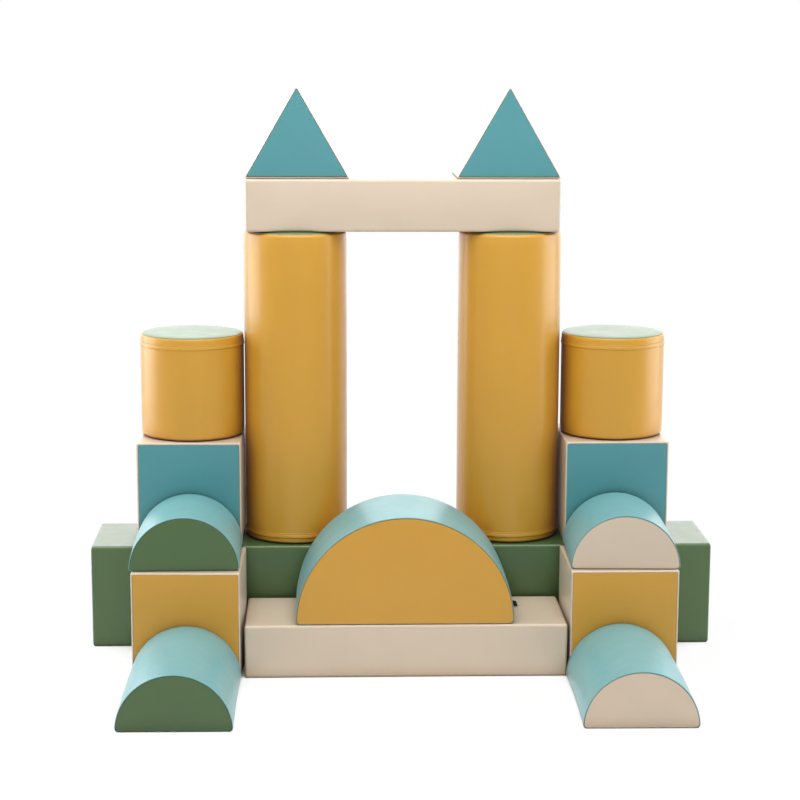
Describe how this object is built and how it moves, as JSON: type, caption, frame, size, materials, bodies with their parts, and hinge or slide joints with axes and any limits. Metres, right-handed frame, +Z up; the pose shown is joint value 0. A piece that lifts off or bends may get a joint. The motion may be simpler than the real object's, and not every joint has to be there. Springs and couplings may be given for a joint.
{
  "type": "giant building block castle",
  "caption": "Castle of giant soft play blocks: foam cores in sewn covers, stacked loose as base, cubes, columns, drums, half rounds, lintel and roofs, each of which lifts off.",
  "frame": {"origin": "on the floor under the middle of the castle", "axes": "+X across the castle to the right seen from its front, +Y from its front to its back, +Z up"},
  "size_m": [1.798, 1.1242, 1.603],
  "materials": {
    "mustard_cover": "matte coated cover cloth, fine pebble grain",
    "teal_cover": "matte coated cover cloth, fine pebble grain",
    "sky_cover": "satin coated cover cloth, fine pebble grain",
    "green_cover": "matte coated cover cloth, fine pebble grain",
    "sage_cover": "matte coated cover cloth, fine pebble grain",
    "cream_cover": "matte coated cover cloth, fine pebble grain",
    "block_foam": "cut polyurethane foam",
    "tag_ribbon": "woven ribbon, plain"
  },
  "bodies": {
    "base": {"base_foam": "block_foam", "base_sleeve": "green_cover", "base_ends": "green_cover"},
    "left_column": {"left_column_foam": "block_foam", "left_column_sleeve": "mustard_cover", "left_column_ends": "sage_cover", "left_column_zip_band": "mustard_cover"},
    "right_column": {"right_column_foam": "block_foam", "right_column_sleeve": "mustard_cover", "right_column_ends": "sage_cover", "right_column_zip_band": "mustard_cover"},
    "lintel": {"lintel_foam": "block_foam", "lintel_sleeve": "cream_cover", "lintel_ends": "cream_cover"},
    "left_roof": {"left_roof_foam": "block_foam", "left_roof_sleeve": "cream_cover", "left_roof_ends": "teal_cover"},
    "right_roof": {"right_roof_foam": "block_foam", "right_roof_sleeve": "cream_cover", "right_roof_ends": "teal_cover"},
    "left_blue_cube": {"left_blue_cube_foam": "block_foam", "left_blue_cube_sleeve": "cream_cover", "left_blue_cube_ends": "teal_cover"},
    "right_blue_cube": {"right_blue_cube_foam": "block_foam", "right_blue_cube_sleeve": "cream_cover", "right_blue_cube_ends": "teal_cover"},
    "left_drum": {"left_drum_foam": "block_foam", "left_drum_sleeve": "mustard_cover", "left_drum_ends": "sage_cover", "left_drum_zip_band": "mustard_cover"},
    "right_drum": {"right_drum_foam": "block_foam", "right_drum_sleeve": "mustard_cover", "right_drum_ends": "sage_cover", "right_drum_zip_band": "mustard_cover"},
    "left_mustard_cube": {"left_mustard_cube_foam": "block_foam", "left_mustard_cube_sleeve": "cream_cover", "left_mustard_cube_ends": "mustard_cover"},
    "right_mustard_cube": {"right_mustard_cube_foam": "block_foam", "right_mustard_cube_sleeve": "cream_cover", "right_mustard_cube_ends": "mustard_cover"},
    "left_upper_half": {"left_upper_half_foam": "block_foam", "left_upper_half_sleeve": "sky_cover", "left_upper_half_ends": "green_cover"},
    "right_upper_half": {"right_upper_half_foam": "block_foam", "right_upper_half_sleeve": "sky_cover", "right_upper_half_ends": "cream_cover"},
    "left_lower_half": {"left_lower_half_foam": "block_foam", "left_lower_half_sleeve": "sky_cover", "left_lower_half_ends": "green_cover"},
    "right_lower_half": {"right_lower_half_foam": "block_foam", "right_lower_half_sleeve": "sky_cover", "right_lower_half_ends": "cream_cover"},
    "plinth": {"plinth_foam": "block_foam", "plinth_sleeve": "cream_cover", "plinth_ends": "cream_cover"},
    "arch": {"arch_foam": "block_foam", "arch_sleeve": "sky_cover", "arch_ends": "mustard_cover", "arch_tag": "tag_ribbon"}
  },
  "joints": [
    {"name": "left_column_slide", "type": "slide", "parent": "base", "child": "left_column", "axis": [0, 1, 0], "range_m": [0, 0.36]},
    {"name": "right_column_slide", "type": "slide", "parent": "base", "child": "right_column", "axis": [0, 1, 0], "range_m": [0, 0.36]},
    {"name": "lintel_lift", "type": "slide", "parent": "base", "child": "lintel", "axis": [0, 0, 1], "range_m": [0, 0.2]},
    {"name": "left_roof_lift", "type": "slide", "parent": "lintel", "child": "left_roof", "axis": [0, 0, 1], "range_m": [0, 0.3]},
    {"name": "right_roof_lift", "type": "slide", "parent": "lintel", "child": "right_roof", "axis": [0, 0, 1], "range_m": [0, 0.3]},
    {"name": "left_blue_cube_lift", "type": "slide", "parent": "base", "child": "left_blue_cube", "axis": [0, 0, 1], "range_m": [0, 0.32]},
    {"name": "right_blue_cube_lift", "type": "slide", "parent": "base", "child": "right_blue_cube", "axis": [0, 0, 1], "range_m": [0, 0.32]},
    {"name": "left_drum_lift", "type": "slide", "parent": "left_blue_cube", "child": "left_drum", "axis": [0, 0, 1], "range_m": [0, 0.32]},
    {"name": "right_drum_lift", "type": "slide", "parent": "right_blue_cube", "child": "right_drum", "axis": [0, 0, 1], "range_m": [0, 0.32]},
    {"name": "left_mustard_cube_lift", "type": "slide", "parent": "base", "child": "left_mustard_cube", "axis": [0, 0, 1], "range_m": [0, 0.32]},
    {"name": "right_mustard_cube_lift", "type": "slide", "parent": "base", "child": "right_mustard_cube", "axis": [0, 0, 1], "range_m": [0, 0.32]},
    {"name": "left_upper_half_lift", "type": "slide", "parent": "left_mustard_cube", "child": "left_upper_half", "axis": [0, 0, 1], "range_m": [0, 0.18]},
    {"name": "right_upper_half_lift", "type": "slide", "parent": "right_mustard_cube", "child": "right_upper_half", "axis": [0, 0, 1], "range_m": [0, 0.18]},
    {"name": "left_lower_half_lift", "type": "slide", "parent": "base", "child": "left_lower_half", "axis": [0, 0, 1], "range_m": [0, 0.18]},
    {"name": "right_lower_half_lift", "type": "slide", "parent": "base", "child": "right_lower_half", "axis": [0, 0, 1], "range_m": [0, 0.18]},
    {"name": "plinth_lift", "type": "slide", "parent": "base", "child": "plinth", "axis": [0, 0, 1], "range_m": [0, 0.18]},
    {"name": "arch_lift", "type": "slide", "parent": "plinth", "child": "arch", "axis": [0, 0, 1], "range_m": [0, 0.32]}
  ]
}
